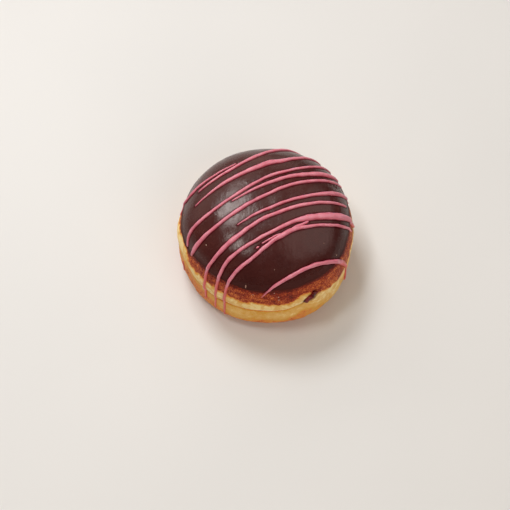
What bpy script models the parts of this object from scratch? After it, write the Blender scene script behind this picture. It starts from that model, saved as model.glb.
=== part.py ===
"""A jelly-filled yeast doughnut: a fried round with a chocolate cap, pink drizzle and a filling hole in its side.

Every surface is placed by three numbers: an azimuth round the doughnut (0 is +X, anticlockwise from above), an
arc measured over the surface from the crown downwards, and a lift off the doughnut's nominal skin. The arc and
the azimuth together unroll the doughnut into a flat map, on which the drizzle is laid out.

The origin is in the middle of the underside, which is flat, with +Z up. The filling hole is on the -Y side.
"""

import bmesh
import bpy
import numpy as np

MM = 0.001
CLEARANCE = 0.3 * MM

# The nominal skin, turned about the Z axis: a domed upper half and a steeper lower half that meet at the belly.
BELLY_RADIUS = 44.0 * MM
BELLY_HEIGHT = 19.2 * MM
DOME_RISE = 32.6 * MM
DOME_POWER = 2.8
FOOT_DEPTH = 22.5 * MM
FOOT_POWER = 5.0
FOOT_ROUND_HEIGHT = 7.0 * MM
FOOT_ROUND_WIDTH = 7.0 * MM

# How far out of round the doughnut is: (azimuth in degrees, spread in degrees, swelling).
SWELLINGS = (
    (-52.0, 26.0, 1.3 * MM),
    (45.0, 30.0, 0.9 * MM),
    (-160.0, 35.0, -0.3 * MM),
    (-174.0, 13.0, 1.0 * MM),
)

# The crease between the two fried halves, where it climbs: (azimuth, spread, climb), and the pale lip above it.
CREASE_HEIGHT = 20.1 * MM
CREASE_CLIMBS = (
    (-170.0, 20.0, 4.5 * MM),
    (-66.0, 6.0, 3.0 * MM),
)
CREASE_DEPTH = 1.1 * MM
CREASE_WIDTH = 1.0 * MM
CREASE_FADE_AZIMUTH = -10.0
CREASE_FADE_HALF_TURN = 52.0
CREASE_FADE_SOFTNESS = 9.0
LIP_SWELLING = 0.5 * MM
LIP_ARC_ABOVE_CREASE = 4.5 * MM
LIP_WIDTH = 3.0 * MM

# The chocolate cap. Its edge dips towards the back, and runs down in tongues: (azimuth, spread, length).
ICING_TOP_LIFT = 0.2 * MM
ICING_THICKNESS = 0.9 * MM
ICING_EDGE_HEIGHT = 33.3 * MM
ICING_EDGE_DIP = 2.6 * MM
ICING_TONGUES = (
    (-159.0, 14.0, 1.9 * MM),
    (-62.0, 10.0, -0.9 * MM),
    (-29.0, 10.0, 1.5 * MM),
)
ICING_WAVES = ((7, 0.25 * MM, 2.1), (12, 0.2 * MM, 4.0))

# The jelly: a flattened pocket with a neck that runs out to the filling hole.
POCKET_RADIUS = 20.0 * MM
POCKET_HALF_HEIGHT = 8.0 * MM
HOLE_AZIMUTH = -61.0
HOLE_HEIGHT = 26.2 * MM
HOLE_SLOPE = 0.4
HOLE_HALF_WIDTH = 3.9 * MM
HOLE_HALF_HEIGHT = 1.9 * MM
NECK_HALF_WIDTH = 2.4 * MM
NECK_HALF_HEIGHT = 1.7 * MM
HOLE_FLARE_LENGTH = 7.0 * MM
POCKET_SIDES = 20

DRIZZLE_LEAST_HEIGHT = 0.35 * MM
DRIZZLE_RISE = 0.25
DRIZZLE_STEP = 3.4 * MM
DRIZZLE_TIP_SCALE = 0.45

# Each line of drizzle on the unrolled map: (x, y, width), all in mm, from its left end to its right end.
DRIZZLE_ROUTES = (
    ((-54, 7.5, 1.2), (-48.7, 10.3, 1.6), (-45, 11.3, 1.7), (-40, 12.8, 1.7), (-36, 15, 1.6), (-27, 19, 1.3),
     (-15, 25.3, 0.8)),
    ((-35.3, 11, 0.8), (-27, 15.7, 1.3), (-17, 21.8, 1.6), (-7, 28.8, 1.9), (3, 35.7, 2.0), (13, 41.7, 1.8),
     (24, 47, 1.2)),
    ((-36.3, 2.2, 0.7), (-29, 7.2, 1.1), (-19.5, 13.4, 1.9), (-10, 18.7, 2.2), (-3, 22, 2.7), (1.7, 24.5, 3.2),
     (7, 25.9, 2.6), (13, 28.6, 1.9), (22, 33, 1.8), (32, 37.6, 1.1)),
    ((-44.6, -18, 1.2), (-41.6, -12.9, 1.7), (-34.8, -8.4, 1.7), (-27, -4, 1.5), (-19.5, 1.4, 1.5),
     (-9.5, 8.5, 1.6), (0, 14.6, 1.6), (11, 19.3, 1.5), (21.6, 23.6, 1.5), (31, 28.5, 1.5), (41, 34.5, 1.0)),
    ((-16.9, 1, 0.7), (-8.7, 6, 1.2), (0, 10.8, 1.7), (11, 15.3, 2.0), (19.8, 17.7, 2.4), (28.6, 20.7, 2.8),
     (35, 23, 2.3), (42, 26, 1.2)),
    ((-43.3, -23.6, 1.3), (-38.2, -20.4, 2.6), (-32.6, -17, 2.2), (-25.7, -12.7, 1.8), (-17.8, -7, 1.8),
     (-7.8, -0.4, 1.8), (3, 6, 1.7), (13, 10.7, 1.7), (23.7, 14.3, 1.7), (34.3, 18, 1.6), (45, 22.5, 1.0)),
    ((-14.2, -12.5, 0.6), (-6, -7.2, 1.2), (3, -2.5, 1.5), (14, 2.2, 1.6), (24.8, 6.1, 1.9), (35.5, 9.9, 2.6),
     (42, 12.3, 2.2), (52, 16, 1.2)),
    ((-49.8, -52.3, 1.3), (-44.2, -46.2, 2.0), (-39.3, -40.9, 2.1), (-34.3, -34.6, 1.9), (-27.5, -28.9, 1.9),
     (-20.4, -23, 2.4), (-16.2, -19.8, 2.6), (-12, -16.8, 2.1), (-3, -10.2, 1.9), (8, -4.7, 1.8), (20, -0.4, 1.7),
     (32, 2.9, 1.6), (44, 5.7, 1.2)),
    ((-43.4, -61, 1.2), (-35, -50.8, 1.6), (-29.7, -42.8, 1.9), (-25, -36.7, 1.9), (-18.8, -29.5, 1.9),
     (-11, -24.2, 1.7), (0, -17.7, 1.7), (12, -10.8, 1.9), (18, -8.6, 2.6), (22, -7.4, 3.4), (32, -5, 3.8),
     (41.5, -2.4, 3.5), (50, -0.2, 2.8), (59, 2.3, 1.5)),
    ((-37.5, -69, 1.1), (-32.6, -61, 1.6), (-27.8, -52.3, 1.9), (-22.5, -43.4, 1.9), (-15.7, -35.9, 1.8),
     (-7.4, -29.8, 1.8), (2, -21.9, 2.0), (7, -18.2, 2.3), (12, -14.9, 2.1), (21.8, -12, 1.6), (32.7, -9.6, 1.6),
     (42.5, -7.6, 1.6), (53, -5, 1.2)),
    ((-3, -51, 0.7), (0.4, -47.1, 1.2), (4, -43.5, 1.5), (11.8, -37.9, 1.8), (20.7, -32.3, 1.9), (29.7, -29, 2.0),
     (37.6, -27.3, 2.4), (44.7, -26.6, 3.0), (51.5, -26.8, 2.3), (56, -27.4, 1.3), (60.5, -28, 1.5),
     (64.5, -30, 1.4)),
)

AZIMUTH_STEPS = 54
CROWN_ROWS = 9
PROFILE_SAMPLES = 240


def turned_profile():
    """Radius, height and arc from the crown, down the nominal skin to the middle of the underside."""
    angle = np.linspace(np.pi / 2, 0.0, PROFILE_SAMPLES)
    dome_radius = BELLY_RADIUS * np.cos(angle).clip(0, 1) ** (2 / DOME_POWER)
    dome_height = BELLY_HEIGHT + DOME_RISE * np.sin(angle) ** (2 / DOME_POWER)
    foot_height = np.linspace(BELLY_HEIGHT, 0.0, PROFILE_SAMPLES)[1:]
    drop = (BELLY_HEIGHT - foot_height) / FOOT_DEPTH
    rounding = (1 - foot_height / FOOT_ROUND_HEIGHT).clip(0, 1)
    foot_radius = BELLY_RADIUS * (1 - drop**FOOT_POWER) ** (1 / FOOT_POWER)
    foot_radius -= FOOT_ROUND_WIDTH * (1 - np.sqrt(1 - rounding**2))
    radius = np.concatenate((dome_radius, foot_radius, [0.0]))
    height = np.concatenate((dome_height, foot_height, [0.0]))
    radius[0] = 0.0
    arc = np.concatenate(([0.0], np.cumsum(np.hypot(np.diff(radius), np.diff(height)))))
    return radius, height, arc


SKIN_RADIUS, SKIN_HEIGHT, SKIN_ARC = turned_profile()
UNDERSIDE_ARC = SKIN_ARC[-2]


def arc_at_height(height):
    """The arc from the crown at which the nominal skin is this high."""
    return np.interp(-height, -SKIN_HEIGHT[:-1], SKIN_ARC[:-1])


def bump(distance, width):
    """A smooth swelling, 1 where the distance is 0."""
    return np.exp(-((distance / width) ** 2))


def turn_between(azimuth, other):
    """The angle in degrees from one azimuth to another, from -180 to 180."""
    return (np.degrees(azimuth) - other + 180) % 360 - 180


def bumps_around(azimuth, bumps):
    """The sum of smooth bumps, each with its middle azimuth, its spread and its size."""
    return sum(size * bump(turn_between(azimuth, middle), spread) for middle, spread, size in bumps)


def swelling(azimuth):
    """How much wider than nominal the doughnut is in this direction."""
    return bumps_around(azimuth, SWELLINGS)


def icing_edge_arc(azimuth):
    """The arc at which the chocolate cap ends in this direction."""
    dip = ICING_EDGE_DIP * np.sin(azimuth)
    tongues = bumps_around(azimuth, ICING_TONGUES)
    waves = sum(size * np.sin(count * azimuth + phase) for count, size, phase in ICING_WAVES)
    return arc_at_height(ICING_EDGE_HEIGHT) + dip + tongues + waves


def skin_point(azimuth, arc, lift):
    """The point at this arc and azimuth, raised off the nominal skin along its normal."""
    radius = np.interp(arc, SKIN_ARC, SKIN_RADIUS)
    height = np.interp(arc, SKIN_ARC, SKIN_HEIGHT)
    reach = 0.4 * MM
    ends = (arc - reach, arc + reach)
    outward = -np.diff(np.interp(ends, SKIN_ARC, SKIN_HEIGHT))[0]
    upward = np.diff(np.interp(ends, SKIN_ARC, SKIN_RADIUS))[0]
    size = np.hypot(outward, upward)
    wider = 1 + swelling(azimuth) / BELLY_RADIUS
    radius = radius * wider + lift * outward / size
    return np.array((radius * np.cos(azimuth), radius * np.sin(azimuth), height + lift * upward / size))


def crease_arc(azimuth):
    """The arc at which the crease runs in this direction."""
    return arc_at_height(CREASE_HEIGHT) - bumps_around(azimuth, CREASE_CLIMBS)


def crease_strength(azimuth):
    """1 where the crease is open, and 0 where the two halves have grown together."""
    past_fade = np.abs(turn_between(azimuth, CREASE_FADE_AZIMUTH)) - CREASE_FADE_HALF_TURN
    share = np.clip(0.5 + 0.5 * past_fade / CREASE_FADE_SOFTNESS, 0, 1)
    return share * share * (3 - 2 * share)


def dough_lift(azimuth, arc):
    """The dough lies under the cap, swells out to the lip and folds in at the crease."""
    covered = -(ICING_THICKNESS - ICING_TOP_LIFT + CLEARANCE)
    edge = icing_edge_arc(azimuth)
    crease = crease_arc(azimuth)
    lip = crease - LIP_ARC_ABOVE_CREASE
    bare = np.clip((arc - edge) / (lip - edge), 0, 1)
    fold = CREASE_DEPTH * crease_strength(azimuth) * bump(arc - crease, CREASE_WIDTH)
    return covered * (1 - bare**2 * (3 - 2 * bare)) + LIP_SWELLING * bump(arc - lip, LIP_WIDTH) - fold


def azimuths():
    return np.linspace(-np.pi, np.pi, AZIMUTH_STEPS, endpoint=False)


def crown_fractions():
    """How far down the cap each of its rows lies, the crown itself left out."""
    return np.linspace(0, 1, CROWN_ROWS + 1)[1:]


def material(name, colour, roughness):
    made = bpy.data.materials.new(name)
    made.use_nodes = True
    shader = made.node_tree.nodes["Principled BSDF"]
    shader.inputs["Base Color"].default_value = (*colour, 1.0)
    shader.inputs["Roughness"].default_value = roughness
    shader.inputs["Metallic"].default_value = 0.0
    made.diffuse_color = (*colour, 1.0)
    return made


def solid_from_rings(name, rings, first, last, finish):
    """A closed object skinned over rings of points, with a single point past each end."""
    mesh = bmesh.new()
    loops = [[mesh.verts.new(point) for point in ring] for ring in rings]
    for upper, lower in zip(loops, loops[1:]):
        for i in range(len(upper)):
            mesh.faces.new((upper[i - 1], lower[i - 1], lower[i], upper[i]))
    for loop, tip, flip in ((loops[0], first, False), (loops[-1], last, True)):
        peak = mesh.verts.new(tip)
        for i in range(len(loop)):
            corners = (peak, loop[i - 1], loop[i])
            mesh.faces.new(corners[::-1] if flip else corners)
    bmesh.ops.recalc_face_normals(mesh, faces=mesh.faces)
    data = bpy.data.meshes.new(name)
    mesh.to_mesh(data)
    mesh.free()
    data.shade_smooth()
    data.materials.append(finish)
    made = bpy.data.objects.new(name, data)
    bpy.context.scene.collection.objects.link(made)
    return made


def cut_out(target, cutter):
    """Take the cutter's volume out of the target."""
    cutter.hide_render = True
    cutter.display_type = "WIRE"
    cut = target.modifiers.new("pocket", "BOOLEAN")
    cut.operation = "DIFFERENCE"
    cut.solver = "EXACT"
    cut.object = cutter


def dough_rows(azimuth):
    """The arcs of the dough's rows: even under the cap, closer together at the lip and the crease."""
    edge = icing_edge_arc(azimuth)
    crease = crease_arc(azimuth)
    lip = crease - LIP_ARC_ABOVE_CREASE
    below_crease = crease + 2 * CREASE_WIDTH
    covered = edge * crown_fractions()
    bare = np.linspace(edge, lip, 5)[1:]
    fold = np.linspace(lip, below_crease, 7)[1:]
    foot = np.linspace(below_crease, UNDERSIDE_ARC, 8)[1:]
    return np.concatenate((covered, bare, fold, foot))


def build_dough():
    rows = [[skin_point(turn, arc, dough_lift(turn, arc)) for arc in dough_rows(turn)] for turn in azimuths()]
    rings = [list(ring) for ring in zip(*rows)]
    for point in rings[-1]:
        point[2] = 0.0
    crown = skin_point(0.0, 0.0, dough_lift(0.0, 0.0))
    golden = material("fried_dough", (0.60, 0.32, 0.09), 0.6)
    return solid_from_rings("dough", rings, crown, (0.0, 0.0, 0.0), golden)


def build_icing():
    """The cap: an outer face, a rounded rim and an inner face that stays clear of the dough."""
    inner_lift = ICING_TOP_LIFT - ICING_THICKNESS
    middle_lift = (ICING_TOP_LIFT + inner_lift) / 2
    last_outer = 0.985
    outer = [(fraction, ICING_TOP_LIFT) for fraction in (*crown_fractions()[:-1], last_outer)]
    inner = [(fraction, inner_lift) for fraction in (*crown_fractions()[:-1], last_outer)]
    path = [*outer, (1.0, middle_lift), *inner[::-1]]
    rings = [
        [skin_point(turn, fraction * icing_edge_arc(turn), lift) for turn in azimuths()]
        for fraction, lift in path
    ]
    chocolate = material("chocolate_icing", (0.055, 0.022, 0.016), 0.3)
    crown_top = skin_point(0.0, 0.0, ICING_TOP_LIFT)
    crown_under = skin_point(0.0, 0.0, inner_lift)
    return solid_from_rings("chocolate_icing", rings, crown_top, crown_under, chocolate)


def jelly_half_sizes(along, mouth):
    """Half the width and half the height of the jelly, this far out from the pocket's middle."""
    inside = np.sqrt(max(0.0, 1 - (along / POCKET_RADIUS) ** 2))
    flare = np.clip(1 - (mouth - along) / HOLE_FLARE_LENGTH, 0, 1) ** 2
    neck_width = NECK_HALF_WIDTH + (HOLE_HALF_WIDTH - NECK_HALF_WIDTH) * flare
    neck_height = NECK_HALF_HEIGHT + (HOLE_HALF_HEIGHT - NECK_HALF_HEIGHT) * flare
    if along < 0:
        return POCKET_RADIUS * inside, POCKET_HALF_HEIGHT * inside
    return max(POCKET_RADIUS * inside, neck_width), max(POCKET_HALF_HEIGHT * inside, neck_height)


def jelly_solid(name, grow, overshoot, finish):
    """The pocket and its neck, skinned over upright ellipses from the back of the pocket to the hole."""
    azimuth = np.radians(HOLE_AZIMUTH)
    hole_arc = arc_at_height(HOLE_HEIGHT)
    mouth = np.hypot(*skin_point(azimuth, hole_arc, dough_lift(azimuth, hole_arc))[:2])
    pocket = POCKET_RADIUS * np.sin(np.linspace(-np.pi / 2, np.pi / 2, 11)[1:-1])
    neck = np.linspace(POCKET_RADIUS, mouth, 7)
    angles = np.linspace(0, 2 * np.pi, POCKET_SIDES, endpoint=False)
    outward = np.array((np.cos(azimuth), np.sin(azimuth), 0.0))
    sideways = np.array((-np.sin(azimuth), np.cos(azimuth), 0.0))
    middle = np.array((0.0, 0.0, HOLE_HEIGHT))

    def ellipse(along, half_width, half_height):
        centre = middle + outward * along
        slope = HOLE_SLOPE * np.clip((along - POCKET_RADIUS) / (mouth - POCKET_RADIUS), 0, 1)
        slanted = (sideways + np.array((0.0, 0.0, slope))) / np.hypot(1.0, slope)
        upright = np.array((0.0, 0.0, half_height))
        return [centre + slanted * half_width * np.cos(a) + upright * np.sin(a) for a in angles]

    rings = []
    for along in (*pocket, *neck):
        half_width, half_height = jelly_half_sizes(along, mouth)
        rings.append(ellipse(along, half_width + grow, half_height + grow))
    tip = mouth + overshoot
    if overshoot > CLEARANCE:
        rings.append(ellipse(tip, half_width + grow, half_height + grow))
    back = middle - outward * (POCKET_RADIUS + grow)
    return solid_from_rings(name, rings, back, middle + outward * tip, finish)


def smooth_route(points):
    """Even samples of x, y and width along a smooth curve through the route's points."""
    knots = np.array(points, float) * MM
    padded = np.vstack((2 * knots[0] - knots[1], knots, 2 * knots[-1] - knots[-2]))
    dense = []
    for before, start, end, after in zip(padded, padded[1:], padded[2:], padded[3:]):
        for t in np.linspace(0, 1, 12, endpoint=False):
            bend = (2 * start, end - before, 2 * before - 5 * start + 4 * end - after,
                    3 * start - before - 3 * end + after)
            dense.append(0.5 * sum(term * t**power for power, term in enumerate(bend)))
    dense = np.array([*dense, knots[-1]])
    length = np.concatenate(([0.0], np.cumsum(np.hypot(*np.diff(dense[:, :2], axis=0).T))))
    steps = max(4, round(length[-1] / DRIZZLE_STEP))
    even = np.linspace(0, length[-1], steps + 1)
    return np.array([np.interp(even, length, column) for column in dense.T]).T


def drizzle_ground(azimuth, arc):
    """The lift of the surface that the drizzle lies on: the cap, then a smooth fall to the bare dough."""
    fall = np.clip((arc - icing_edge_arc(azimuth)) / (3 * MM), 0, 1)
    return ICING_TOP_LIFT + (LIP_SWELLING - ICING_TOP_LIFT) * fall


def drizzle_section(here, towards, width):
    """A low dome across the line: flat beneath, rounded above."""
    azimuth = np.arctan2(here[1], here[0])
    arc = np.hypot(here[0], here[1])
    base = drizzle_ground(azimuth, arc) + CLEARANCE
    height = DRIZZLE_LEAST_HEIGHT + DRIZZLE_RISE * width
    across = np.array((-towards[1], towards[0])) / np.hypot(*towards)
    section = []
    for side, rise in ((1, 0), (0.8, 0.6), (0, 1), (-0.8, 0.6), (-1, 0)):
        spot = here[:2] + across * side * width / 2
        turn = np.arctan2(spot[1], spot[0])
        section.append(skin_point(turn, np.hypot(*spot), base + rise * height))
    return section


def build_drizzle(name, points, finish):
    route = smooth_route(points)
    towards = np.gradient(route[:, :2], axis=0)
    rings = []
    for i, (x, y, width) in enumerate(route):
        scale = DRIZZLE_TIP_SCALE if i in (0, len(route) - 1) else 1.0
        rings.append(drizzle_section(np.array((x, y)), towards[i], width * scale))
    tips = [np.mean(rings[end], axis=0) for end in (0, -1)]
    return solid_from_rings(name, rings, *tips, finish)


def clear_scene():
    for old in list(bpy.data.objects):
        bpy.data.objects.remove(old, do_unlink=True)


def build_doughnut():
    clear_scene()
    dough = build_dough()
    jelly = material("jelly", (0.10, 0.008, 0.010), 0.2)
    cut_out(dough, jelly_solid("pocket_cutter", CLEARANCE, 6 * MM, jelly))
    jelly_solid("jelly_filling", 0.0, 0.25 * MM, jelly)
    build_icing()
    pink = material("pink_icing", (0.72, 0.22, 0.28), 0.45)
    for number, points in enumerate(DRIZZLE_ROUTES, start=1):
        build_drizzle(f"drizzle_{number:02d}", points, pink)


build_doughnut()
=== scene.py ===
"""The looks of a jelly-filled doughnut: speckled fried crust, satin chocolate, pink drizzle and red jelly.

As in the solids, a place on the doughnut is an azimuth (0 is +X, anticlockwise from above), an arc over the
surface from the crown downwards, and a lift off the nominal skin. Sizes are in metres unless a line says mm.
"""

import bmesh
import bpy
import numpy as np
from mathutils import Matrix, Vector, noise


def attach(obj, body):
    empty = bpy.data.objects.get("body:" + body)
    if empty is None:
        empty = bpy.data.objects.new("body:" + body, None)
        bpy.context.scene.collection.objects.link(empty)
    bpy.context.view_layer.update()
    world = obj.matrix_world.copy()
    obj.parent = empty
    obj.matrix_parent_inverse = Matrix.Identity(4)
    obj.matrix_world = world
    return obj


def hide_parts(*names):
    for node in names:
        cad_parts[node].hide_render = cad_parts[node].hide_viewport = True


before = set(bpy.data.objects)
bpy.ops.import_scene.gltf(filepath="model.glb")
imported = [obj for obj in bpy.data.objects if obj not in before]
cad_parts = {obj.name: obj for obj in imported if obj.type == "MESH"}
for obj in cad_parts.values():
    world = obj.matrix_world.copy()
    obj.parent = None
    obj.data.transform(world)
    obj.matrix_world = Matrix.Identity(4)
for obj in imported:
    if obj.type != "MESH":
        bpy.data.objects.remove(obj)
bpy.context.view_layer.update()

MM = 0.001

# The nominal skin, as the solids have it.
BELLY_RADIUS = 44.0 * MM
BELLY_HEIGHT = 19.2 * MM
DOME_RISE = 32.6 * MM
DOME_POWER = 2.8
FOOT_DEPTH = 22.5 * MM
FOOT_POWER = 5.0
FOOT_ROUND_HEIGHT = 7.0 * MM
FOOT_ROUND_WIDTH = 7.0 * MM
SWELLINGS = (
    (-52.0, 26.0, 1.3 * MM),
    (45.0, 30.0, 0.9 * MM),
    (-160.0, 35.0, -0.3 * MM),
    (-174.0, 13.0, 1.0 * MM),
)
CREASE_HEIGHT = 20.1 * MM
CREASE_CLIMBS = (
    (-170.0, 20.0, 4.5 * MM),
    (-66.0, 6.0, 3.0 * MM),
)
CREASE_FADE_AZIMUTH = -10.0
CREASE_FADE_HALF_TURN = 52.0
CREASE_FADE_SOFTNESS = 9.0
ICING_EDGE_HEIGHT = 33.3 * MM
ICING_EDGE_DIP = 2.6 * MM
ICING_TONGUES = (
    (-159.0, 14.0, 1.9 * MM),
    (-62.0, 10.0, -0.9 * MM),
    (-29.0, 10.0, 1.5 * MM),
)
ICING_WAVES = ((7, 0.25 * MM, 2.1), (12, 0.2 * MM, 4.0))
HOLE_AZIMUTH = -61.0
HOLE_HEIGHT = 26.2 * MM
HOLE_SLOPE = 0.4

# The jelly in the hole, a pinhole left by a bubble, and a patch of small pocks in the chocolate.
JELLY_HALF_WIDTH = 4.4 * MM
JELLY_SLOPE = 0.5
PINHOLE_AZIMUTH = -129.3
PINHOLE_ARC = 60.2 * MM
PINHOLE_WIDTH = 1.0 * MM
POCKS_X = 36.0 * MM
POCKS_Y = 16.0 * MM
POCKS_REACH = 4.5 * MM

# The mouth of the filling hole in the dough: half its width, half its height, and how deep it sinks.
MOUTH_HALF_WIDTH = 4.3 * MM
MOUTH_HALF_HEIGHT = 2.3 * MM
MOUTH_DEPTH = 2.2 * MM

# How far below the nominal skin the cap's hidden underside lies.
CAP_UNDERSIDE = -1.1 * MM

# No line of drizzle stands higher than this, and this many tiny flecks lie beside the crumbs.
DRIZZLE_HEIGHT = 1.4 * MM
FLECKS = 16

# The camera looks down at the doughnut from the side that has the hole.
CAMERA_PLACE = (-0.0055, -0.332, 0.5973)
CAMERA_PITCH = 61.0
CAMERA_LENS_MM = 91.8
CAMERA_SENSOR_MM = 36.0

# How far the pale band reaches above the crease, and the golden zone below it: (azimuth, spread, further).
PALE_REACH = 6.0 * MM
PALE_REACHES = (
    (-165.0, 13.0, 2.5 * MM),
    (-150.0, 10.0, -3.0 * MM),
    (-138.0, 22.0, 1.9 * MM),
    (-98.0, 3.0, 1.0 * MM),
    (-63.0, 7.0, 1.6 * MM),
    (-33.0, 13.0, -4.2 * MM),
)
GOLDEN_REACH = 9.5 * MM
GOLDEN_REACHES = (
    (-150.0, 27.0, -8.0 * MM),
    (-110.0, 11.0, 2.6 * MM),
    (-61.0, 10.0, -4.2 * MM),
    (-36.0, 12.0, 4.0 * MM),
)

# Lighter patches of the golden zone: (azimuth, spread, how much lighter).
LIGHTER_PATCHES = (
    (-74.0, 14.0, 0.10),
    (-38.0, 12.0, 0.06),
    (-112.0, 7.0, 0.05),
    (150.0, 25.0, 0.07),
    (60.0, 20.0, 0.06),
)

# The drizzle's lines on the unrolled skin, as the solids have them: (x, y, width) in mm.
DRIZZLE_ROUTES = (
    ((-54, 7.5, 1.2), (-48.7, 10.3, 1.6), (-45, 11.3, 1.7), (-40, 12.8, 1.7), (-36, 15, 1.6),
     (-27, 19, 1.3), (-15, 25.3, 0.8)),
    ((-35.3, 11, 0.8), (-27, 15.7, 1.3), (-17, 21.8, 1.6), (-7, 28.8, 1.9), (3, 35.7, 2.0),
     (13, 41.7, 1.8), (24, 47, 1.2)),
    ((-36.3, 2.2, 0.7), (-29, 7.2, 1.1), (-19.5, 13.4, 1.9), (-10, 18.7, 2.2), (-3, 22, 2.7),
     (1.7, 24.5, 3.2), (7, 25.9, 2.6), (13, 28.6, 1.9), (22, 33, 1.8), (32, 37.6, 1.1)),
    ((-44.6, -18, 1.2), (-41.6, -12.9, 1.7), (-34.8, -8.4, 1.7), (-27, -4, 1.5), (-19.5, 1.4, 1.5),
     (-9.5, 8.5, 1.6), (0, 14.6, 1.6), (11, 19.3, 1.5), (21.6, 23.6, 1.5), (31, 28.5, 1.5),
     (41, 34.5, 1.0)),
    ((-16.9, 1, 0.7), (-8.7, 6, 1.2), (0, 10.8, 1.7), (11, 15.3, 2.0), (19.8, 17.7, 2.4),
     (28.6, 20.7, 2.8), (35, 23, 2.3), (42, 26, 1.2)),
    ((-43.3, -23.6, 1.3), (-38.2, -20.4, 2.6), (-32.6, -17, 2.2), (-25.7, -12.7, 1.8), (-17.8, -7, 1.8),
     (-7.8, -0.4, 1.8), (3, 6, 1.7), (13, 10.7, 1.7), (23.7, 14.3, 1.7), (34.3, 18, 1.6), (45, 22.5, 1.0)),
    ((-14.2, -12.5, 0.6), (-6, -7.2, 1.2), (3, -2.5, 1.5), (14, 2.2, 1.6), (24.8, 6.1, 1.9),
     (35.5, 9.9, 2.6), (42, 12.3, 2.2), (52, 16, 1.2)),
    ((-49.8, -52.3, 1.3), (-44.2, -46.2, 2.0), (-39.3, -40.9, 2.1), (-34.3, -34.6, 1.9),
     (-27.5, -28.9, 1.9), (-20.4, -23, 2.4), (-16.2, -19.8, 2.6), (-12, -16.8, 2.1), (-3, -10.2, 1.9),
     (8, -4.7, 1.8), (20, -0.4, 1.7), (32, 2.9, 1.6), (44, 5.7, 1.2)),
    ((-43.4, -61, 1.2), (-35, -50.8, 1.6), (-29.7, -42.8, 1.9), (-25, -36.7, 1.9), (-18.8, -29.5, 1.9),
     (-11, -24.2, 1.7), (0, -17.7, 1.7), (12, -10.8, 1.9), (18, -8.6, 2.6), (22, -7.4, 3.4), (32, -5, 3.8),
     (41.5, -2.4, 3.5), (50, -0.2, 2.8), (59, 2.3, 1.5)),
    ((-37.5, -69, 1.1), (-32.6, -61, 1.6), (-27.8, -52.3, 1.9), (-22.5, -43.4, 1.9), (-15.7, -35.9, 1.8),
     (-7.4, -29.8, 1.8), (2, -21.9, 2.0), (7, -18.2, 2.3), (12, -14.9, 2.1), (21.8, -12, 1.6),
     (32.7, -9.6, 1.6), (42.5, -7.6, 1.6), (53, -5, 1.2)),
    ((-3, -51, 0.7), (0.4, -47.1, 1.2), (4, -43.5, 1.5), (11.8, -37.9, 1.8), (20.7, -32.3, 1.9),
     (29.7, -29, 2.0), (37.6, -27.3, 2.4), (44.7, -26.6, 3.0), (51.5, -26.8, 2.3),
     (56, -27.4, 1.3), (60.5, -28, 1.5), (64.5, -30, 1.4)),
)

# Strands too fine for the solids: where two lines split, a fleck beside them, and drips on the sides.
EXTRA_STRANDS = {
    "drizzle_split_left": ((-2.3, -22.4, 0.6), (1.9, -19.9, 0.9), (5.4, -17.9, 1.0), (8.5, -16.7, 0.8)),
    "drizzle_split_right": ((10, -15.4, 1.0), (14, -13.1, 1.4), (17, -11.7, 1.3), (20.5, -9.6, 1.2)),
    "drizzle_fleck": ((-5.1, -24.8, 0.6), (-4.2, -24.2, 0.9), (-3.4, -23.7, 0.6)),
    "drizzle_last_drop": ((62.8, -29.2, 1.3), (66.3, -31.1, 2.2), (69.6, -32.8, 1.5)),
    "drizzle_side_drip": ((-62, -21, 0.9), (-66, -23.5, 1.4), (-70, -25, 1.2)),
}

# Crumbs on the unrolled skin: (x, y, size round the doughnut, size down it) in mm.
CRUMBS = (
    (-30.7, -20.7, 0.7, 0.5),
    (-11.0, -43.4, 0.7, 1.9),
    (7.1, -50.3, 0.7, 0.5),
    (7.5, -52.3, 0.9, 0.6),
    (28.5, -19.7, 0.6, 0.4),
    (-45.1, 1.1, 0.9, 0.4),
    (4.0, -35.0, 0.6, 0.4),
    (37.5, -24.0, 0.7, 0.4),
    (-7.6, -49.1, 0.6, 0.5),
    (4.5, -47.9, 0.5, 0.4),
)


# ---------------------------------------------------------------- the skin

def turned_profile(samples=600):
    """Radius, height and arc from the crown, down the nominal skin to the middle of the underside."""
    angle = np.linspace(np.pi / 2, 0.0, samples)
    dome_radius = BELLY_RADIUS * np.cos(angle).clip(0, 1) ** (2 / DOME_POWER)
    dome_height = BELLY_HEIGHT + DOME_RISE * np.sin(angle) ** (2 / DOME_POWER)
    foot_height = np.linspace(BELLY_HEIGHT, 0.0, samples)[1:]
    drop = (BELLY_HEIGHT - foot_height) / FOOT_DEPTH
    rounding = (1 - foot_height / FOOT_ROUND_HEIGHT).clip(0, 1)
    foot_radius = BELLY_RADIUS * (1 - drop**FOOT_POWER) ** (1 / FOOT_POWER)
    foot_radius -= FOOT_ROUND_WIDTH * (1 - np.sqrt(1 - rounding**2))
    radius = np.concatenate((dome_radius, foot_radius, [0.0]))
    height = np.concatenate((dome_height, foot_height, [0.0]))
    radius[0] = 0.0
    arc = np.concatenate(([0.0], np.cumsum(np.hypot(np.diff(radius), np.diff(height)))))
    return radius, height, arc


SKIN_RADIUS, SKIN_HEIGHT, SKIN_ARC = turned_profile()
UNDERSIDE_ARC = SKIN_ARC[-2]


def arc_at_height(height):
    return np.interp(-height, -SKIN_HEIGHT[:-1], SKIN_ARC[:-1])


HOLE_ARC = arc_at_height(HOLE_HEIGHT)


def bump(distance, width):
    return np.exp(-((distance / width) ** 2))


def smooth_step(start, end, value):
    t = np.clip((value - start) / (end - start), 0, 1)
    return t * t * (3 - 2 * t)


def turn_between(azimuth, other):
    """The angle in degrees from one azimuth to another, from -180 to 180."""
    return (np.degrees(azimuth) - other + 180) % 360 - 180


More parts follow.
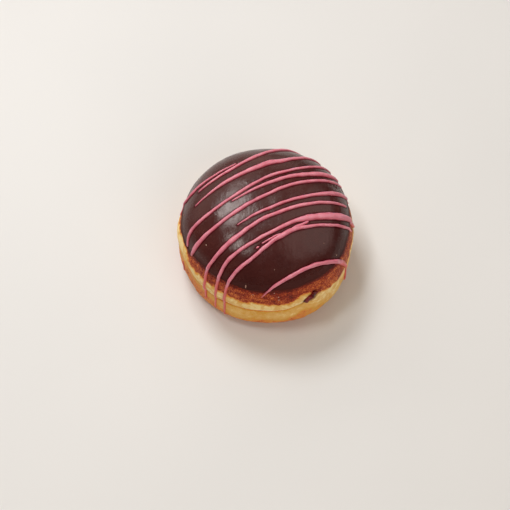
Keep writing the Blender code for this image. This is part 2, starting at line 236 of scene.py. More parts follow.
def bumps_around(azimuth, bumps):
    """The sum of smooth bumps, each with its middle azimuth, its spread and its size."""
    return sum(size * bump(turn_between(azimuth, middle), spread) for middle, spread, size in bumps)


def icing_edge_arc(azimuth):
    """The arc at which the chocolate cap ends, with the small raggedness of a dipped edge."""
    dip = ICING_EDGE_DIP * np.sin(azimuth)
    waves = sum(size * np.sin(count * azimuth + phase) for count, size, phase in ICING_WAVES)
    ragged = 0.35 * MM * ring_noise(azimuth, 9.0, 3.0) + 0.22 * MM * ring_noise(azimuth, 26.0, 8.0)
    ragged = ragged + 0.15 * MM * ring_noise(azimuth, 60.0, 14.0)
    return arc_at_height(ICING_EDGE_HEIGHT) + dip + bumps_around(azimuth, ICING_TONGUES) + waves + ragged


def ring_noise(azimuth, turns, seed):
    """Smooth noise round the doughnut, from about -1 to 1, that closes on itself."""
    flat = np.ravel(azimuth)
    reach = turns / (2 * np.pi)
    values = [noise.noise(Vector((reach * np.cos(a), reach * np.sin(a), seed))) for a in flat]
    return 1.6 * np.array(values).reshape(np.shape(azimuth))


def skin_points(azimuth, arc, lift):
    """Points at these arcs and azimuths, raised off the nominal skin along its normal."""
    azimuth, arc, lift = np.broadcast_arrays(azimuth, arc, lift)
    reach = 0.4 * MM
    radius = np.interp(arc, SKIN_ARC, SKIN_RADIUS)
    height = np.interp(arc, SKIN_ARC, SKIN_HEIGHT)
    outward = np.interp(arc - reach, SKIN_ARC, SKIN_HEIGHT) - np.interp(arc + reach, SKIN_ARC, SKIN_HEIGHT)
    upward = np.interp(arc + reach, SKIN_ARC, SKIN_RADIUS) - np.interp(arc - reach, SKIN_ARC, SKIN_RADIUS)
    size = np.hypot(outward, upward)
    radius = radius * (1 + bumps_around(azimuth, SWELLINGS) / BELLY_RADIUS) + lift * outward / size
    height = height + lift * upward / size
    return np.stack((radius * np.cos(azimuth), radius * np.sin(azimuth), height), axis=-1)


def point_noise(points, grain, seed):
    """Smooth noise at each point, from about -1 to 1, with features about this size across."""
    flat = points.reshape(-1, 3) / grain + seed
    values = [noise.noise(Vector(p)) for p in flat]
    return 1.6 * np.array(values).reshape(points.shape[:-1])


# ---------------------------------------------------------------- the dough's form, how dark it is fried, and painted shade

def crease_strength(azimuth):
    """1 where the crease is open, and 0 where the two halves have grown together."""
    past_fade = np.abs(turn_between(azimuth, CREASE_FADE_AZIMUTH)) - CREASE_FADE_HALF_TURN
    return smooth_step(-CREASE_FADE_SOFTNESS, CREASE_FADE_SOFTNESS, past_fade)


def crease_arc(azimuth):
    """The arc of the crease, which wanders a little."""
    wander = 0.35 * MM * ring_noise(azimuth, 6.0, 21.0) + 0.2 * MM * ring_noise(azimuth, 20.0, 27.0)
    return arc_at_height(CREASE_HEIGHT) - bumps_around(azimuth, CREASE_CLIMBS) + wander


def dough_lift(azimuth, arc, icing_edge):
    """The crust rises from under the cap to the lip, folds in at the crease and swells again below it."""
    crease = crease_arc(azimuth)
    strength = crease_strength(azimuth)
    lip_arc = crease - 4.0 * MM
    rise = -0.6 * MM * (1 - smooth_step(icing_edge - 1 * MM, lip_arc, arc))
    deeper_under_cap = -0.3 * MM * (1 - smooth_step(icing_edge - 6 * MM, icing_edge - 1.5 * MM, arc))
    lip = 0.5 * MM * bump(arc - lip_arc, 3.0 * MM)
    roll = 0.35 * MM * strength * bump(arc - crease + 1.5 * MM, 1.3 * MM)
    sharp_fold = 1.05 * MM * bump(arc - crease - 0.3 * MM, 0.65 * MM)
    wide_fold = 0.4 * MM * bump(arc - crease, 2.2 * MM)
    return rise + deeper_under_cap + lip + roll - strength * (sharp_fold + wide_fold)


def hole_places(points):
    """How far each point lies across and above the middle of the filling hole, along its slant."""
    azimuth = np.radians(HOLE_AZIMUTH)
    sideways = np.array((-np.sin(azimuth), np.cos(azimuth), 0.0))
    outward = np.array((np.cos(azimuth), np.sin(azimuth), 0.0))
    across = points @ sideways
    up = points[..., 2] - HOLE_HEIGHT - HOLE_SLOPE * across
    return np.where(points @ outward > 0, across, 1.0), up


def hole_distance(points, half_width, half_height):
    """How far each point is from the middle of the filling hole, where 1 is the hole's ragged rim."""
    across, up = hole_places(points)
    ragged = 1 + 0.28 * point_noise(points, 2.2 * MM, 5.0)
    return np.hypot(across / half_width, up / half_height) / ragged


def browning_and_painted_light(azimuth, arc, icing_edge, points):
    """How dark the crust is fried, with painted shade and painted highlights at the crease: 0 on the pale
    band, about 0.35 golden, 0.6 orange brown and 1 dark.
    """
    crease = crease_arc(azimuth)
    strength = crease_strength(azimuth)
    soft = point_noise(points, 9 * MM, 11.0)
    fine = point_noise(points, 2.4 * MM, 17.0)
    tiny = point_noise(points, 1.1 * MM, 23.0)
    ragged = (0.75 * fine + 0.45 * soft + 0.3 * tiny) * MM
    pale_top = crease - PALE_REACH - bumps_around(azimuth, PALE_REACHES) + ragged
    crust = 1 - smooth_step(pale_top - 1.5 * MM, pale_top + 0.8 * MM, arc)
    # Darker just below the cap's edge: partly a smear of chocolate, partly painted shade under the cap.
    near_cap = 1 - smooth_step(icing_edge + 0.2 * MM, icing_edge + 1.9 * MM, arc)
    golden_top = crease + 0.2 * MM + (1 - strength) * 3 * MM
    golden = smooth_step(golden_top - 0.3 * MM, golden_top + 1.2 * MM, arc) * (0.45 + 0.55 * strength)
    foot_top = crease + GOLDEN_REACH + bumps_around(azimuth, GOLDEN_REACHES) + 1.2 * ragged
    foot = smooth_step(foot_top - 1.5 * MM, foot_top + 3.5 * MM, arc)
    under = smooth_step(UNDERSIDE_ARC - 10 * MM, UNDERSIDE_ARC + 4 * MM, arc)
    # A dark line in the crease is painted shade, and a paler line on the lip's rim just above it is a painted
    # highlight.
    in_crease = 0.5 * bump(arc - crease - 0.5 * MM, 0.6 * MM)
    lip_rim_highlight = 0.16 * bump(arc - crease + 1.1 * MM, 0.7 * MM)
    crease_shade = strength * (in_crease - lip_rim_highlight)
    level = 0.05 + 0.7 * crust + 0.2 * crust * near_cap + 0.25 * golden + 0.25 * foot + 0.12 * under
    # A lighter band along the middle of the lobe below the crease, where the light falls on its swell: a
    # painted highlight.
    lobe_painted_highlight = -0.08 * strength * bump(arc - crease - 5.5 * MM, 2.2 * MM)
    lighter = golden * (1 - foot) * bumps_around(azimuth, LIGHTER_PATCHES)
    patches = lobe_painted_highlight + 0.05 * soft + 0.05 * fine + 0.03 * tiny - lighter
    return level + crease_shade + patches


# ---------------------------------------------------------------- meshes

def skinned(name, points, finish, first=None, last=None):
    """A smooth piece over rings of points (ring, round, xyz), closed at each end by a single point."""
    rings, count = points.shape[:2]
    coords = points.reshape(-1, 3)
    this = np.arange(rings * count).reshape(rings, count)
    ahead = np.roll(this, -1, axis=1)
    quads = np.stack((this[:-1], this[1:], ahead[1:], ahead[:-1]), axis=-1).reshape(-1, 4)
    faces = quads.tolist()
    for tip, ring, flip in ((first, 0, False), (last, rings - 1, True)):
        tip = points[ring].mean(axis=0) if tip is None else tip
        coords = np.vstack((coords, tip))
        peak = len(coords) - 1
        pairs = zip(this[ring].tolist(), ahead[ring].tolist())
        faces += [(peak, b, a) if flip else (peak, a, b) for a, b in pairs]
    data = bpy.data.meshes.new(name)
    data.from_pydata(coords.tolist(), [], faces)
    data.validate()
    data.shade_smooth()
    data.materials.append(finish)
    piece = bpy.data.objects.new(name, data)
    bpy.context.scene.collection.objects.link(piece)
    return piece


def add_values(piece, name, values, first, last):
    """Store one number for each point of a skinned piece."""
    stored = piece.data.attributes.new(name, "FLOAT", "POINT")
    stored.data.foreach_set("value", np.concatenate((np.ravel(values), [first, last])).astype(np.float32))


def ring_azimuths(count):
    return np.linspace(-np.pi, np.pi, count, endpoint=False)


def crust_relief(azimuth, arc, edge):
    """The dough's lift with its uneven swells and small pits, and the plain points that these grow from."""
    lift = dough_lift(azimuth, arc, edge)
    plain = skin_points(azimuth, arc, lift)
    below_cap = smooth_step(edge - 2 * MM, edge + 1 * MM, arc)
    above_floor = 1 - smooth_step(UNDERSIDE_ARC - 7 * MM, UNDERSIDE_ARC, arc)
    swells = 0.28 * MM * point_noise(plain, 13 * MM, 2.0) + 0.12 * MM * point_noise(plain, 4.5 * MM, 7.0)
    pits = 0.06 * MM * point_noise(plain, 1.6 * MM, 9.0) + 0.04 * MM * point_noise(plain, 0.9 * MM, 13.0)
    return lift + below_cap * above_floor * (swells + pits), plain


def build_dough(finish, columns=620):
    azimuth = ring_azimuths(columns)
    edge = icing_edge_arc(azimuth)
    cover_end = edge - 2.5 * MM
    covered = np.outer(np.linspace(0.06, 1, 10), cover_end)
    bare_end = crease_arc(azimuth) + 9 * MM
    bare = cover_end + np.outer(np.linspace(0, 1, 90)[1:], bare_end - cover_end)
    foot = bare_end + np.outer(np.linspace(0, 1, 30)[1:], UNDERSIDE_ARC - bare_end)
    inward = np.linspace(1, 0.05, 9)[1:, None]
    under = SKIN_ARC[-1] - (SKIN_ARC[-1] - UNDERSIDE_ARC) * np.repeat(inward, columns, axis=1)
    arc = np.vstack((covered, bare, foot, under))
    around = np.broadcast_to(azimuth, arc.shape)
    lift, plain = crust_relief(around, arc, edge)
    hole = hole_distance(plain, MOUTH_HALF_WIDTH, MOUTH_HALF_HEIGHT)
    lift = lift - MOUTH_DEPTH * (1 - smooth_step(0.55, 1.15, hole)) + 0.18 * MM * bump(hole - 1.35, 0.25)
    pin = np.linalg.norm(plain - skin_points(np.radians(PINHOLE_AZIMUTH), PINHOLE_ARC, 0.0), axis=-1)
    in_pin = 1 - smooth_step(0.2 * PINHOLE_WIDTH, 0.75 * PINHOLE_WIDTH, pin)
    points = skin_points(around, arc, lift - 0.8 * PINHOLE_WIDTH * in_pin)
    points[..., 2] = np.maximum(points[..., 2], 0.0)
    top = skin_points(0.0, 0.0, lift[0].mean())
    piece = skinned("dough_body", points, finish, first=top, last=np.zeros(3))
    # Darker round the sunken mouth of the filling hole and in the pinhole: painted shade in these hollows.
    brown = browning_and_painted_light(around, arc, edge, plain) + 0.25 * (1 - smooth_step(0.6, 1.5, hole)) + 0.9 * in_pin
    add_values(piece, "browning_and_painted_light", brown, 0.8, 0.75)
    add_values(piece, "jelly_stain", 1 - smooth_step(0.8, 1.9, hole), 0.0, 0.0)
    return piece


def glaze_lift(azimuth, arc, edge):
    """The chocolate's upper face: gently uneven, a bead and a few pocks on it, and thin at the crust."""
    points = skin_points(azimuth, arc, 0.0)
    wavy = 0.15 * MM * point_noise(points, 17 * MM, 31.0) + 0.05 * MM * point_noise(points, 6 * MM, 37.0)
    bead = 0.13 * MM * bump(arc - edge + 2.3 * MM, 1.1 * MM)
    thinning = smooth_step(-2.0 * MM, 0.2 * MM, arc - edge)
    pocks = point_noise(points, 1.5 * MM, 53.0) - 0.2
    pocked = bump(np.hypot(points[..., 0] - POCKS_X, points[..., 1] - POCKS_Y), POCKS_REACH)
    return 0.12 * MM + wavy + bead - 0.95 * MM * thinning + 0.35 * MM * pocked * pocks


def distance_to_drizzle(azimuth, arc):
    """How far each place is from the side of the nearest line of drizzle, on the unrolled skin."""
    x, y = arc * np.cos(azimuth), arc * np.sin(azimuth)
    nearest = np.full(x.shape, BELLY_RADIUS)
    for route in (*DRIZZLE_ROUTES, *EXTRA_STRANDS.values()):
        samples, _ = smooth_route(route, 0.8 * MM)
        for line_x, line_y, width in samples:
            nearest = np.minimum(nearest, np.hypot(x - line_x, y - line_y) - width / 2)
    return nearest


def build_glaze(finish, columns=560):
    azimuth = ring_azimuths(columns)
    edge = icing_edge_arc(azimuth)
    cap = np.outer(np.concatenate((np.linspace(0.02, 0.9, 95), np.linspace(0.905, 1, 26))), edge)
    tuck = np.outer((0.97, 0.9, 0.6, 0.3, 0.05), edge)
    around = np.broadcast_to(azimuth, cap.shape)
    lift = np.vstack((glaze_lift(around, cap, edge), np.full(tuck.shape, CAP_UNDERSIDE)))
    arc = np.vstack((cap, tuck))
    around = np.broadcast_to(azimuth, arc.shape)
    crown = skin_points(0.0, 0.0, lift[0].mean())
    under = skin_points(0.0, 0.0, CAP_UNDERSIDE)
    piece = skinned("chocolate_glaze", skin_points(around, arc, lift), finish, first=crown, last=under)
    add_values(piece, "near_edge", smooth_step(edge - 5 * MM, edge, arc), 0.0, 0.0)
    # Where the chocolate lies beside the icing, for the painted shadow and bleed there.
    beside = 1 - smooth_step(0.2 * MM, 1.0 * MM, distance_to_drizzle(around, arc))
    add_values(piece, "near_icing", beside, 0.0, 0.0)
    return piece


def smooth_route(points, step):
    """Even samples of x, y and width along a smooth curve through the route's points."""
    knots = np.array(points, float) * MM
    padded = np.vstack((2 * knots[0] - knots[1], knots, 2 * knots[-1] - knots[-2]))
    dense = []
    for before, start, end, after in zip(padded, padded[1:], padded[2:], padded[3:]):
        for t in np.linspace(0, 1, 24, endpoint=False):
            bend = (2 * start, end - before, 2 * before - 5 * start + 4 * end - after,
                    3 * start - before - 3 * end + after)
            dense.append(0.5 * sum(term * t**power for power, term in enumerate(bend)))
    dense = np.array([*dense, knots[-1]])
    length = np.concatenate(([0.0], np.cumsum(np.hypot(*np.diff(dense[:, :2], axis=0).T))))
    even = np.linspace(0, length[-1], max(6, round(length[-1] / step)) + 1)
    return np.array([np.interp(even, length, column) for column in dense.T]).T, even


def ground_lift(azimuth, arc):
    """The lift of what a line of drizzle lies on, sagging only a little into the crease."""
    edge = icing_edge_arc(azimuth)
    crust, _ = crust_relief(azimuth, arc, edge)
    on_cap = arc < edge
    cap = np.where(on_cap, glaze_lift(azimuth, np.minimum(arc, edge), edge), -1 * MM)
    ground = np.maximum(np.maximum(cap, crust), -0.5 * MM)
    reach = 3
    padded = np.pad(ground, reach, mode="edge")
    return np.convolve(padded, np.full(2 * reach + 1, 1 / (2 * reach + 1)), mode="valid")


def build_strand(name, route, finish, seed, section_points=20):
    """A piped line of icing, a little sunk, domed above, uneven in width and with rounded ends."""
    samples, along = smooth_route(route, 0.35 * MM)
    place = samples[:, :2]
    wobble = np.array([noise.noise(Vector((s / (5 * MM), seed, 0.5))) for s in along])
    swell = np.array([noise.noise(Vector((s / (3 * MM), seed, 7.5))) for s in along])
    towards = np.gradient(place, axis=0)
    towards /= np.hypot(*towards.T)[:, None]
    across = np.stack((-towards[:, 1], towards[:, 0]), axis=-1)
    place = place + across * (0.22 * MM * wobble)[:, None]
    width = samples[:, 2] * (1 + 0.16 * swell)
    from_end = np.minimum(along, along[-1] - along)
    reach = np.minimum(width, 1.3 * MM)
    rounding = np.sqrt(1 - (1 - np.clip(from_end / reach, 0, 1)) ** 2).clip(0.12, 1)
    height = DRIZZLE_HEIGHT * np.tanh((0.1 * MM + 0.55 * width) / DRIZZLE_HEIGHT) * (0.35 + 0.65 * rounding)
    half = width / 2 * rounding
    turn = np.linspace(0, 2 * np.pi, section_points, endpoint=False)
    side = np.cos(turn)
    rise = np.where(np.sin(turn) >= 0, np.abs(np.sin(turn)) ** 0.9, -0.4 * np.abs(np.sin(turn)))
    spot = place[:, None, :] + across[:, None, :] * (half[:, None] * side)[..., None]
    azimuth = np.arctan2(spot[..., 1], spot[..., 0])
    arc = np.hypot(spot[..., 0], spot[..., 1])
    base = ground_lift(np.arctan2(place[:, 1], place[:, 0]), np.hypot(place[:, 0], place[:, 1]))
    points = skin_points(azimuth, arc, base[:, None] - 0.05 * MM + height[:, None] * rise)
    piece = skinned(name, points[:, ::-1], finish)
    past_cap = smooth_step(0, 3 * MM, arc - icing_edge_arc(azimuth))
    add_values(piece, "on_crust", past_cap[:, ::-1], past_cap[0].mean(), past_cap[-1].mean())
    # How far round towards the underside each point lies, for the painted shade on the strand's sides.
    low_side = np.broadcast_to((1 - rise) / 1.4, arc.shape)
    add_values(piece, "low_side", low_side[:, ::-1], 0.5, 0.5)
    return piece


def build_jelly(finish, slices=48, section_points=32):
    """The jelly in the filling hole: two wet lumps, side by side, that swell a little out of it."""
    azimuth = np.radians(HOLE_AZIMUTH)
    outward = np.array((np.cos(azimuth), np.sin(azimuth), 0.0))
    sideways = np.array((-np.sin(azimuth), np.cos(azimuth), 0.0))
    upward = np.array((0.0, 0.0, 1.0))
    mouth = float(skin_points(azimuth, HOLE_ARC, 0.0) @ outward)
    across = np.linspace(-1, 1, slices + 2)[1:-1] * JELLY_HALF_WIDTH
    rounding = np.sqrt(1 - (across / JELLY_HALF_WIDTH) ** 2)
    lumps = bump(across + 2.1 * MM, 1.3 * MM) + 0.8 * bump(across - 1.5 * MM, 1.4 * MM)
    half_height = (0.9 * MM + 1.9 * MM * lumps) * rounding
    swelling = (0.9 * MM + 0.8 * MM * lumps) * rounding
    turn = np.linspace(0, 2 * np.pi, section_points, endpoint=False)
    up = JELLY_SLOPE * across[:, None] + np.outer(half_height, np.sin(turn))
    forward = mouth - 0.3 * MM + np.outer(swelling, np.cos(turn))
    middle = upward * HOLE_HEIGHT + np.outer(across, sideways)[:, None]
    points = middle + up[..., None] * upward + forward[..., None] * outward
    push = 0.3 * MM * point_noise(points, 2.0 * MM, 41.0) + 0.15 * MM * point_noise(points, 0.9 * MM, 43.0)
    points = points + push[..., None] * outward
    points[..., 2] += 0.5 * MM * point_noise(points, 1.8 * MM, 47.0)
    return skinned("jelly_in_hole", points[:, ::-1], finish)


def crumb_places():
    """Each crumb's place on the unrolled skin and its two sizes: the larger ones, then tiny flecks."""
    random = np.random.default_rng(12)
    for crumb in CRUMBS:
        yield np.array(crumb) * MM
    for _ in range(FLECKS):
        azimuth = random.uniform(-np.pi, np.pi)
        arc = random.uniform(0.15, 1.1) * float(icing_edge_arc(np.array([azimuth]))[0])
        size = random.uniform(0.16, 0.32) * MM
        yield np.array((arc * np.cos(azimuth), arc * np.sin(azimuth), size * random.uniform(1, 1.6), size))


def build_crumbs(finish):
    """Crumbs and flecks of sugar on the cap and the crust, each an uneven grain, joined in one piece."""
    coords, faces = [], []
    for x, y, length, width in crumb_places():
        grain = bmesh.new()
        bmesh.ops.create_icosphere(grain, subdivisions=2, radius=0.5)
        azimuth, arc = np.arctan2(y, x), np.hypot(x, y)
        ground = float(ground_lift(np.array([azimuth]), np.array([arc]))[0])
        thickness = 0.6 * min(length, width)
        middle = skin_points(azimuth, arc, ground + 0.3 * thickness)
        outward = skin_points(azimuth, arc, 1 * MM) - skin_points(azimuth, arc, 0.0)
        outward /= np.linalg.norm(outward)
        along = np.cross(outward, (x / arc, y / arc, 1.7))
        along /= np.linalg.norm(along)
        beside = np.cross(outward, along)
        start = len(coords)
        for vertex in grain.verts:
            uneven = 1 + 0.55 * noise.noise(vertex.co * 2.6 + Vector((x, y, 0)) * 900)
            a, b, c = np.array(vertex.co) * uneven
            coords.append(tuple(middle + along * a * length + beside * b * width + outward * c * thickness))
        faces += [tuple(start + vertex.index for vertex in face.verts) for face in grain.faces]
        grain.free()
    data = bpy.data.meshes.new("crumbs")
    data.from_pydata(coords, [], faces)
    data.materials.append(finish)
    data.shade_smooth()
    piece = bpy.data.objects.new("crumbs", data)
    bpy.context.scene.collection.objects.link(piece)
    return piece


# ---------------------------------------------------------------- materials

def linear(red, green, blue):
    """A screen colour, from 0 to 255, as the linear colour that a shader takes."""
    channels = np.array((red, green, blue)) / 255
    bright = ((channels + 0.055) / 1.055) ** 2.4
    return (*np.where(channels <= 0.04045, channels / 12.92, bright).tolist(), 1.0)


class Nodes:
    """A new material's node tree, with short calls for the nodes that the finishes share."""

    def __init__(self, name):
        self.material = bpy.data.materials.new(name)
        self.material.use_nodes = True
        self.tree = self.material.node_tree
        self.shader = self.tree.nodes["Principled BSDF"]
        self.place = self.add("ShaderNodeTexCoord").outputs["Object"]

    def add(self, kind, **settings):
        node = self.tree.nodes.new(kind)
        for name, value in settings.items():
            setattr(node, name, value)
        return node

    def link(self, source, target):
        self.tree.links.new(source, target)

    def set(self, **values):
        for name, value in values.items():
            self.shader.inputs[name.replace("_", " ")].default_value = value

    def noise(self, scale, detail=3.0, roughness=0.55, stretch=None):
        texture = self.add("ShaderNodeTexNoise")
        texture.inputs["Scale"].default_value = scale
        texture.inputs["Detail"].default_value = detail
        texture.inputs["Roughness"].default_value = roughness
        if stretch:
            mapping = self.add("ShaderNodeMapping")
            mapping.inputs["Scale"].default_value = stretch
            self.link(self.place, mapping.inputs["Vector"])
            self.link(mapping.outputs["Vector"], texture.inputs["Vector"])
        else:
            self.link(self.place, texture.inputs["Vector"])
        return texture.outputs["Fac"]

    def attribute(self, name):
        return self.add("ShaderNodeAttribute", attribute_name=name).outputs["Fac"]

    def math(self, operation, first, second):
        node = self.add("ShaderNodeMath", operation=operation)
        for socket, value in zip(node.inputs, (first, second)):
            if isinstance(value, (int, float)):
                socket.default_value = value
            else:
                self.link(value, socket)
        return node.outputs["Value"]

    def remap(self, source, low, high, new_low, new_high):
        node = self.add("ShaderNodeMapRange")
        self.link(source, node.inputs["Value"])
        limits = {"From Min": low, "From Max": high, "To Min": new_low, "To Max": new_high}
        for name, value in limits.items():
            node.inputs[name].default_value = value
        return node.outputs["Result"]

    def ramp(self, source, *stops):
        node = self.add("ShaderNodeValToRGB")
        node.color_ramp.interpolation = "EASE"
        elements = node.color_ramp.elements
        while len(elements) < len(stops):
            elements.new(0.5)
        for element, (position, colour) in zip(elements, stops):
            element.position = position
            element.color = colour
        self.link(source, node.inputs["Fac"])
        return node.outputs["Color"]

    def mix(self, factor, first, second):
        node = self.add("ShaderNodeMix", data_type="RGBA")
        self.link(factor, node.inputs["Factor"])
        for socket, value in ((node.inputs[6], first), (node.inputs[7], second)):
            if isinstance(value, tuple):
                socket.default_value = value
            else:
                self.link(value, socket)
        return node.outputs[2]

    def bump(self, height, distance, strength=1.0, after=None):
        node = self.add("ShaderNodeBump")
        node.inputs["Distance"].default_value = distance
        node.inputs["Strength"].default_value = strength
        self.link(height, node.inputs["Height"])
        if after is not None:
            self.link(after, node.inputs["Normal"])
        return node.outputs["Normal"]


def dough_finish():
    nodes = Nodes("fried_crust")
    brown = nodes.attribute("browning_and_painted_light")
    speckle = nodes.remap(nodes.noise(2000, 3.0, 0.65), 0.32, 0.68, -0.23, 0.23)
    mottle = nodes.remap(nodes.noise(300, 4.0, 0.6), 0.3, 0.7, -0.12, 0.12)
    amount = nodes.remap(brown, 0.1, 0.75, 0.2, 1.0)
    level = nodes.math("ADD", nodes.math("ADD", brown, mottle), nodes.math("MULTIPLY", speckle, amount))
    colour = nodes.ramp(
        level,
        (0.0, linear(250, 221, 156)),
        (0.14, linear(235, 187, 106)),
        (0.34, linear(228, 170, 70)),
        (0.54, linear(232, 136, 66)),
        (0.72, linear(174, 70, 38)),
        (0.88, linear(132, 40, 24)),
        (1.1, linear(88, 28, 18)),
    )
    stain = nodes.remap(nodes.attribute("jelly_stain"), 0.0, 1.0, 0.0, 0.55)
    stained = nodes.mix(stain, colour, linear(110, 26, 20))
    nodes.link(stained, nodes.shader.inputs["Base Color"])
    nodes.link(nodes.remap(nodes.noise(500), 0.3, 0.7, 0.5, 0.68), nodes.shader.inputs["Roughness"])
    pores = nodes.bump(nodes.noise(1500, 3.0, 0.6), 0.00025, 0.6)
    soft = nodes.bump(nodes.noise(420, 2.0), 0.0004, 0.5, after=pores)
    nodes.link(soft, nodes.shader.inputs["Normal"])
    nodes.set(Specular_IOR_Level=0.2, Subsurface_Weight=0.06, Subsurface_Scale=0.003)
    return nodes.material


def glaze_finish():
    nodes = Nodes("chocolate")
    cloud = nodes.noise(60, 4.0, 0.6)
    fine = nodes.noise(900, 3.0)
    shade = nodes.math("ADD", nodes.remap(cloud, 0.3, 0.7, 0.0, 0.7), nodes.remap(fine, 0.3, 0.7, 0.0, 0.3))
    colour = nodes.ramp(
        shade,
        (0.0, linear(64, 27, 25)),
        (0.6, linear(73, 34, 31)),
        (1.0, linear(86, 44, 39)),
    )
    edge_shade = nodes.remap(nodes.attribute("near_edge"), 0.75, 1.0, 0.0, 0.8)
    edged = nodes.mix(edge_shade, colour, linear(92, 34, 24))
    # Deep maroon beside each strand: mostly a painted shadow and painted reflection of the strand, partly
    # pink icing bled into the chocolate.
    strand_shadow_and_bleed = nodes.remap(nodes.attribute("near_icing"), 0.0, 1.0, 0.0, 0.9)
    nodes.link(nodes.mix(strand_shadow_and_bleed, edged, linear(70, 10, 17)), nodes.shader.inputs["Base Color"])
    satin = nodes.remap(nodes.noise(170, 4.0, 0.65), 0.3, 0.7, 0.16, 0.34)
    dull_edge = nodes.remap(nodes.attribute("near_edge"), 0.0, 0.8, 0.0, 0.4)
    nodes.link(nodes.math("ADD", satin, dull_edge), nodes.shader.inputs["Roughness"])
    ripple = nodes.bump(nodes.noise(150, 3.0, 0.5, stretch=(1.0, 0.35, 1.0)), 0.0005, 0.4)
    streaks = nodes.bump(nodes.noise(520, 3.0, 0.6, stretch=(1.0, 0.3, 1.0)), 0.00016, 0.7, after=ripple)
    grain = nodes.bump(nodes.noise(1100, 2.0), 0.00006, 0.6, after=streaks)
    nodes.link(grain, nodes.shader.inputs["Normal"])
    shine = nodes.remap(nodes.attribute("near_edge"), 0.0, 0.7, 0.35, 0.05)
    duller = nodes.remap(nodes.attribute("near_icing"), 0.0, 1.0, 1.0, 0.2)
    nodes.link(nodes.math("MULTIPLY", shine, duller), nodes.shader.inputs["Specular IOR Level"])
    nodes.set(Specular_Tint=(1.0, 0.93, 0.88, 1.0))
    return nodes.material


def drizzle_finish():
    nodes = Nodes("pink_icing_finish")
    colour = nodes.ramp(nodes.noise(260, 3.0), (0.25, linear(214, 114, 132)), (0.75, linear(232, 146, 162)))
    # The sides and underside of each strand are a deeper pink: painted shade.
    low_side = nodes.remap(nodes.attribute("low_side"), 0.08, 0.7, 0.0, 0.85)
    deeper = nodes.mix(low_side, colour, linear(182, 52, 72))
    on_crust = nodes.remap(nodes.attribute("on_crust"), 0.0, 1.0, 0.0, 0.65)
    thin = nodes.mix(on_crust, deeper, linear(222, 92, 72))
    nodes.link(thin, nodes.shader.inputs["Base Color"])
    nodes.link(nodes.remap(nodes.noise(600), 0.3, 0.7, 0.28, 0.42), nodes.shader.inputs["Roughness"])
    nodes.link(nodes.bump(nodes.noise(900, 2.0), 0.0001, 0.5), nodes.shader.inputs["Normal"])
    nodes.set(Specular_IOR_Level=0.45, Subsurface_Weight=0.1, Subsurface_Scale=0.001)
    return nodes.material


def jelly_finish():
    nodes = Nodes("red_jelly")
    colour = nodes.ramp(nodes.noise(500, 3.0), (0.3, linear(74, 10, 14)), (0.75, linear(134, 28, 28)))
    nodes.link(colour, nodes.shader.inputs["Base Color"])
    nodes.link(nodes.remap(nodes.noise(700), 0.3, 0.7, 0.12, 0.3), nodes.shader.inputs["Roughness"])
    nodes.link(nodes.bump(nodes.noise(800, 2.0), 0.0002, 0.6), nodes.shader.inputs["Normal"])
    nodes.set(Specular_IOR_Level=0.3, Coat_Weight=0.08, Coat_Roughness=0.15)
    return nodes.material


def crumb_finish():
    nodes = Nodes("pale_crumb")
    colour = nodes.ramp(nodes.noise(300, 2.0), (0.3, linear(150, 104, 90)), (0.7, linear(204, 170, 148)))
    nodes.link(colour, nodes.shader.inputs["Base Color"])
    nodes.link(nodes.remap(nodes.noise(900), 0.3, 0.7, 0.5, 0.8), nodes.shader.inputs["Roughness"])
    nodes.link(nodes.bump(nodes.noise(2500, 2.0), 0.0001, 0.6), nodes.shader.inputs["Normal"])
    return nodes.material


def floor_finish():
    nodes = Nodes("pale_floor")
    colour = nodes.ramp(nodes.noise(6, 2.0), (0.3, linear(225, 224, 221)), (0.7, linear(228, 227, 224)))
    nodes.link(colour, nodes.shader.inputs["Base Color"])
    nodes.link(nodes.remap(nodes.noise(12), 0.3, 0.7, 0.55, 0.6), nodes.shader.inputs["Roughness"])
    nodes.link(nodes.bump(nodes.noise(300, 2.0), 0.00002, 0.2), nodes.shader.inputs["Normal"])
    return nodes.material


# ---------------------------------------------------------------- the set

def build_floor():
    half = 1.5
    corners = [(-half, -half, 0), (half, -half, 0), (half, half, 0), (-half, half, 0)]
    data = bpy.data.meshes.new("floor")
    data.from_pydata(corners, [], [(0, 1, 2, 3)])
    data.materials.append(floor_finish())
    floor = bpy.data.objects.new("floor", data)
    bpy.context.scene.collection.objects.link(floor)


def add_area_light(name, place, size, power, colour, mirrored=True, lights=True):
    """A rectangular light aimed at the doughnut, which can be left out of what shines or of what is lit."""
    light = bpy.data.lights.new(name, "AREA")
    light.shape = "RECTANGLE"
    light.size, light.size_y = size
    light.energy = power
    light.color = colour
    holder = bpy.data.objects.new(name, light)
    holder.location = place
    towards = Vector((0.0, 0.0, BELLY_HEIGHT)) - Vector(place)
    holder.rotation_euler = towards.to_track_quat("-Z", "Y").to_euler()
    holder.visible_glossy = mirrored
    holder.visible_diffuse = lights
    bpy.context.scene.collection.objects.link(holder)


def place_around(azimuth, elevation, distance):
    """The place this far from the doughnut, at this azimuth and elevation in degrees."""
    turn, rise = np.radians((azimuth, elevation))
    out = distance * np.cos(rise)
    return (out * np.cos(turn), out * np.sin(turn), distance * np.sin(rise))


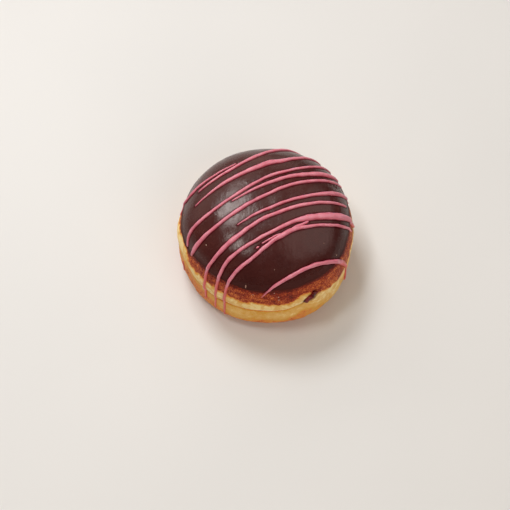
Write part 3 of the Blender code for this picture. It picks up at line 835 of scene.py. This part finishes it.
def light_the_set():
    add_area_light("softbox", place_around(121, 57, 1.1), (0.42, 0.3), 5.8, (0.97, 0.985, 1.0))
    add_area_light("small_softbox", place_around(186, 71, 1.1), (0.22, 0.14), 2.2, (1.0, 0.985, 0.97))
    add_area_light("back_panel", place_around(118, 25, 1.6), (3.0, 1.0), 9.5, (1.0, 0.86, 0.79))
    add_area_light("right_panel", place_around(20, 50, 1.5), (1.6, 1.6), 11.0, (1.0, 0.94, 0.9), lights=False)
    add_area_light("fill", place_around(-62, 35, 1.4), (1.0, 1.0), 6.2, (1.0, 0.91, 0.81), mirrored=False)
    world = bpy.data.worlds.new("studio")
    world.use_nodes = True
    world.node_tree.nodes["Background"].inputs["Color"].default_value = (1.0, 0.91, 0.82, 1.0)
    world.node_tree.nodes["Background"].inputs["Strength"].default_value = 0.22
    world.cycles_visibility.glossy = False
    bpy.context.scene.world = world
    bpy.context.scene.view_settings.view_transform = "Standard"


def place_camera():
    camera = bpy.data.cameras.new("camera")
    camera.lens = CAMERA_LENS_MM
    camera.sensor_width = CAMERA_SENSOR_MM
    holder = bpy.data.objects.new("camera", camera)
    holder.location = CAMERA_PLACE
    holder.rotation_euler = (np.radians(90 - CAMERA_PITCH), 0.0, 0.0)
    bpy.context.scene.collection.objects.link(holder)
    bpy.context.scene.camera = holder


# ---------------------------------------------------------------- putting it together

def finish_piece(piece, slot, *nodes):
    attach(piece, "root")
    if nodes:
        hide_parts(*nodes)


finish_piece(build_dough(dough_finish()), "fried_dough", "dough")
finish_piece(build_glaze(glaze_finish()), "chocolate_icing", "chocolate_icing")
finish_piece(build_jelly(jelly_finish()), "jelly", "jelly_filling")
pink = drizzle_finish()
for number, route in enumerate(DRIZZLE_ROUTES, start=1):
    node = f"drizzle_{number:02d}"
    finish_piece(build_strand(f"line_{number:02d}", route, pink, number * 3.7), "pink_icing", node)
for number, (name, route) in enumerate(EXTRA_STRANDS.items()):
    finish_piece(build_strand(name, route, pink, 60 + number * 3.1), "pink_icing")
finish_piece(build_crumbs(crumb_finish()), "fried_dough")

build_floor()
light_the_set()
place_camera()
